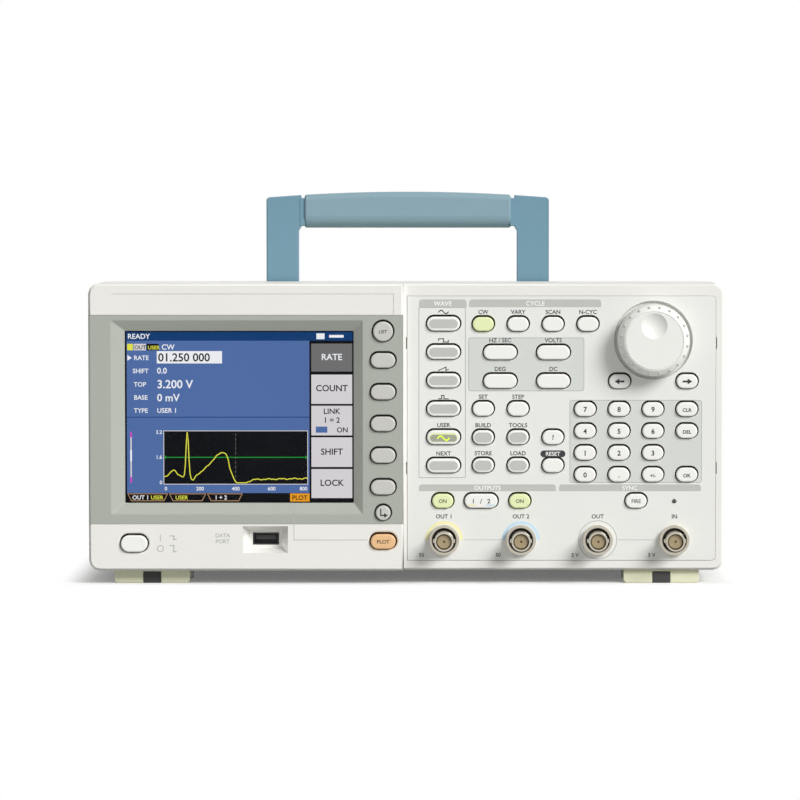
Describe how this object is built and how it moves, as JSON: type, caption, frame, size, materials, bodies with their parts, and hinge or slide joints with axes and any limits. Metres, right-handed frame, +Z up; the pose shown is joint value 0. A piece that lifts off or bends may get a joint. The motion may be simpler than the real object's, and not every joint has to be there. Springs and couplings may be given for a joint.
{
  "type": "function generator",
  "caption": "Bench function generator with a colour display, keypad, tuning knob, BNC sockets, folding carry handle and folding front feet.",
  "frame": {"origin": "on the bench, under the middle of the instrument's overall length and width", "axes": "+X to the right of someone facing the controls, +Y to the back, +Z up"},
  "size_m": [0.3296, 0.168, 0.2035],
  "materials": {
    "case_plastic": "moulded ABS, fine texture",
    "rear_plastic": "moulded ABS, fine texture",
    "panel_plastic": "moulded ABS, fine texture, printed",
    "surround_plastic": "moulded ABS, fine texture",
    "window": "hard-coated acrylic",
    "display_module": "lit colour display",
    "silicone": "silicone sheet",
    "circuit_board": "solder mask",
    "socket_steel": "plated shell",
    "chassis_steel": "zinc-plated sheet",
    "supply_can": "plain sheet",
    "black_plastic": "moulded",
    "rear_sheet": "clear-passivated sheet",
    "nickel": "nickel plate",
    "insulator": "PTFE",
    "foot_rubber": "moulded",
    "foot_plastic": "moulded",
    "pad_rubber": "moulded",
    "handle_core": "moulded nylon, fine texture",
    "handle_grip": "moulded soft-touch",
    "knob_plastic": "moulded ABS",
    "key_white": "moulded",
    "key_grey": "moulded",
    "key_orange": "moulded, translucent",
    "key_lit": "translucent, lit from behind"
  },
  "bodies": {
    "instrument": {"front_frame": "case_plastic", "display_surround": "surround_plastic", "control_panel": "panel_plastic", "display_window": "window", "lcd_module": "display_module", "key_mat": "silicone", "front_board": "circuit_board", "io_sockets": "socket_steel", "chassis": "chassis_steel", "main_board": "circuit_board", "power_supply": "supply_can", "power_inlet": "black_plastic", "cooling_fan": "black_plastic", "rear_case": "rear_plastic", "rear_panel": "rear_sheet", "bnc_connectors": "nickel", "bnc_insulators": "insulator", "rear_feet": "foot_rubber"},
    "handle": {"handle_arms": "handle_core", "handle_grip": "handle_grip"},
    "knob": {"tuning_knob": "knob_plastic"},
    "fan": {"fan_rotor": "black_plastic"},
    "foot_left": {"flip_foot_left": "foot_plastic", "flip_pad_left": "pad_rubber"},
    "foot_right": {"flip_foot_right": "foot_plastic", "flip_pad_right": "pad_rubber"},
    "top_menu_button": {"top_menu_button": "key_grey"},
    "soft_key_1": {"soft_key_1": "key_grey"},
    "soft_key_2": {"soft_key_2": "key_grey"},
    "soft_key_3": {"soft_key_3": "key_grey"},
    "soft_key_4": {"soft_key_4": "key_grey"},
    "soft_key_5": {"soft_key_5": "key_grey"},
    "back_button": {"back_button": "key_grey"},
    "power_button": {"power_button": "key_white"},
    "view_button": {"view_button": "key_orange"},
    "function_key_1": {"function_key_1": "key_white"},
    "function_key_2": {"function_key_2": "key_white"},
    "function_key_3": {"function_key_3": "key_white"},
    "function_key_4": {"function_key_4": "key_white"},
    "function_key_5": {"function_key_5": "key_white"},
    "function_key_6": {"function_key_6": "key_white"},
    "run_mode_key_1": {"run_mode_key_1": "key_lit"},
    "run_mode_key_2": {"run_mode_key_2": "key_white"},
    "run_mode_key_3": {"run_mode_key_3": "key_white"},
    "run_mode_key_4": {"run_mode_key_4": "key_white"},
    "parameter_key_1": {"parameter_key_1": "key_white"},
    "parameter_key_2": {"parameter_key_2": "key_white"},
    "parameter_key_3": {"parameter_key_3": "key_white"},
    "parameter_key_4": {"parameter_key_4": "key_white"},
    "shortcut_key_1": {"shortcut_key_1": "key_white"},
    "shortcut_key_2": {"shortcut_key_2": "key_white"},
    "cursor_key_left": {"cursor_key_left": "key_white"},
    "cursor_key_right": {"cursor_key_right": "key_white"},
    "channel_key_1": {"channel_key_1": "key_lit"},
    "channel_select": {"channel_select": "key_white"},
    "channel_key_2": {"channel_key_2": "key_lit"},
    "manual_trigger": {"manual_trigger": "key_white"},
    "menu_keys": {"menu_keys": "key_white"},
    "numeric_keys": {"numeric_keys": "key_white"}
  },
  "joints": [
    {"name": "handle_fold", "type": "hinge", "parent": "instrument", "child": "handle", "pos_m": [0, -0.014, 0.147], "axis": [-1, 0, 0], "range_deg": [0, 90]},
    {"name": "knob_turn", "type": "hinge", "parent": "instrument", "child": "knob", "pos_m": [0.1281, -0.07, 0.1267], "axis": [0, 1, 0], "continuous": true},
    {"name": "fan_spin", "type": "hinge", "parent": "instrument", "child": "fan", "pos_m": [-0.092, 0.0611, 0.098], "axis": [0, 1, 0], "continuous": true},
    {"name": "foot_fold_left", "type": "hinge", "parent": "instrument", "child": "foot_left", "pos_m": [-0.1326, -0.036, 0.0034], "axis": [1, 0, 0], "range_deg": [0, 95]},
    {"name": "foot_fold_right", "type": "hinge", "parent": "instrument", "child": "foot_right", "pos_m": [0.1326, -0.036, 0.0034], "axis": [1, 0, 0], "range_deg": [0, 95]},
    {"name": "top_menu_button_press", "type": "slide", "parent": "instrument", "child": "top_menu_button", "axis": [0, 1, 0], "range_m": [0, 0.001], "stiffness_N_per_m": 800},
    {"name": "soft_key_1_press", "type": "slide", "parent": "instrument", "child": "soft_key_1", "axis": [0, 1, 0], "range_m": [0, 0.001], "stiffness_N_per_m": 800},
    {"name": "soft_key_2_press", "type": "slide", "parent": "instrument", "child": "soft_key_2", "axis": [0, 1, 0], "range_m": [0, 0.001], "stiffness_N_per_m": 800},
    {"name": "soft_key_3_press", "type": "slide", "parent": "instrument", "child": "soft_key_3", "axis": [0, 1, 0], "range_m": [0, 0.001], "stiffness_N_per_m": 800},
    {"name": "soft_key_4_press", "type": "slide", "parent": "instrument", "child": "soft_key_4", "axis": [0, 1, 0], "range_m": [0, 0.001], "stiffness_N_per_m": 800},
    {"name": "soft_key_5_press", "type": "slide", "parent": "instrument", "child": "soft_key_5", "axis": [0, 1, 0], "range_m": [0, 0.001], "stiffness_N_per_m": 800},
    {"name": "back_button_press", "type": "slide", "parent": "instrument", "child": "back_button", "axis": [0, 1, 0], "range_m": [0, 0.001], "stiffness_N_per_m": 800},
    {"name": "power_button_press", "type": "slide", "parent": "instrument", "child": "power_button", "axis": [0, 1, 0], "range_m": [0, 0.001], "stiffness_N_per_m": 800},
    {"name": "view_button_press", "type": "slide", "parent": "instrument", "child": "view_button", "axis": [0, 1, 0], "range_m": [0, 0.001], "stiffness_N_per_m": 800},
    {"name": "function_key_1_press", "type": "slide", "parent": "instrument", "child": "function_key_1", "axis": [0, 1, 0], "range_m": [0, 0.001], "stiffness_N_per_m": 800},
    {"name": "function_key_2_press", "type": "slide", "parent": "instrument", "child": "function_key_2", "axis": [0, 1, 0], "range_m": [0, 0.001], "stiffness_N_per_m": 800},
    {"name": "function_key_3_press", "type": "slide", "parent": "instrument", "child": "function_key_3", "axis": [0, 1, 0], "range_m": [0, 0.001], "stiffness_N_per_m": 800},
    {"name": "function_key_4_press", "type": "slide", "parent": "instrument", "child": "function_key_4", "axis": [0, 1, 0], "range_m": [0, 0.001], "stiffness_N_per_m": 800},
    {"name": "function_key_5_press", "type": "slide", "parent": "instrument", "child": "function_key_5", "axis": [0, 1, 0], "range_m": [0, 0.001], "stiffness_N_per_m": 800},
    {"name": "function_key_6_press", "type": "slide", "parent": "instrument", "child": "function_key_6", "axis": [0, 1, 0], "range_m": [0, 0.001], "stiffness_N_per_m": 800},
    {"name": "run_mode_key_1_press", "type": "slide", "parent": "instrument", "child": "run_mode_key_1", "axis": [0, 1, 0], "range_m": [0, 0.001], "stiffness_N_per_m": 800},
    {"name": "run_mode_key_2_press", "type": "slide", "parent": "instrument", "child": "run_mode_key_2", "axis": [0, 1, 0], "range_m": [0, 0.001], "stiffness_N_per_m": 800},
    {"name": "run_mode_key_3_press", "type": "slide", "parent": "instrument", "child": "run_mode_key_3", "axis": [0, 1, 0], "range_m": [0, 0.001], "stiffness_N_per_m": 800},
    {"name": "run_mode_key_4_press", "type": "slide", "parent": "instrument", "child": "run_mode_key_4", "axis": [0, 1, 0], "range_m": [0, 0.001], "stiffness_N_per_m": 800},
    {"name": "parameter_key_1_press", "type": "slide", "parent": "instrument", "child": "parameter_key_1", "axis": [0, 1, 0], "range_m": [0, 0.001], "stiffness_N_per_m": 800},
    {"name": "parameter_key_2_press", "type": "slide", "parent": "instrument", "child": "parameter_key_2", "axis": [0, 1, 0], "range_m": [0, 0.001], "stiffness_N_per_m": 800},
    {"name": "parameter_key_3_press", "type": "slide", "parent": "instrument", "child": "parameter_key_3", "axis": [0, 1, 0], "range_m": [0, 0.001], "stiffness_N_per_m": 800},
    {"name": "parameter_key_4_press", "type": "slide", "parent": "instrument", "child": "parameter_key_4", "axis": [0, 1, 0], "range_m": [0, 0.001], "stiffness_N_per_m": 800},
    {"name": "shortcut_key_1_press", "type": "slide", "parent": "instrument", "child": "shortcut_key_1", "axis": [0, 1, 0], "range_m": [0, 0.001], "stiffness_N_per_m": 800},
    {"name": "shortcut_key_2_press", "type": "slide", "parent": "instrument", "child": "shortcut_key_2", "axis": [0, 1, 0], "range_m": [0, 0.001], "stiffness_N_per_m": 800},
    {"name": "cursor_key_left_press", "type": "slide", "parent": "instrument", "child": "cursor_key_left", "axis": [0, 1, 0], "range_m": [0, 0.001], "stiffness_N_per_m": 800},
    {"name": "cursor_key_right_press", "type": "slide", "parent": "instrument", "child": "cursor_key_right", "axis": [0, 1, 0], "range_m": [0, 0.001], "stiffness_N_per_m": 800},
    {"name": "channel_key_1_press", "type": "slide", "parent": "instrument", "child": "channel_key_1", "axis": [0, 1, 0], "range_m": [0, 0.001], "stiffness_N_per_m": 800},
    {"name": "channel_select_press", "type": "slide", "parent": "instrument", "child": "channel_select", "axis": [0, 1, 0], "range_m": [0, 0.001], "stiffness_N_per_m": 800},
    {"name": "channel_key_2_press", "type": "slide", "parent": "instrument", "child": "channel_key_2", "axis": [0, 1, 0], "range_m": [0, 0.001], "stiffness_N_per_m": 800},
    {"name": "manual_trigger_press", "type": "slide", "parent": "instrument", "child": "manual_trigger", "axis": [0, 1, 0], "range_m": [0, 0.001], "stiffness_N_per_m": 800},
    {"name": "menu_keys_press", "type": "slide", "parent": "instrument", "child": "menu_keys", "axis": [0, 1, 0], "range_m": [0, 0.001], "stiffness_N_per_m": 800},
    {"name": "numeric_keys_press", "type": "slide", "parent": "instrument", "child": "numeric_keys", "axis": [0, 1, 0], "range_m": [0, 0.001], "stiffness_N_per_m": 800}
  ]
}
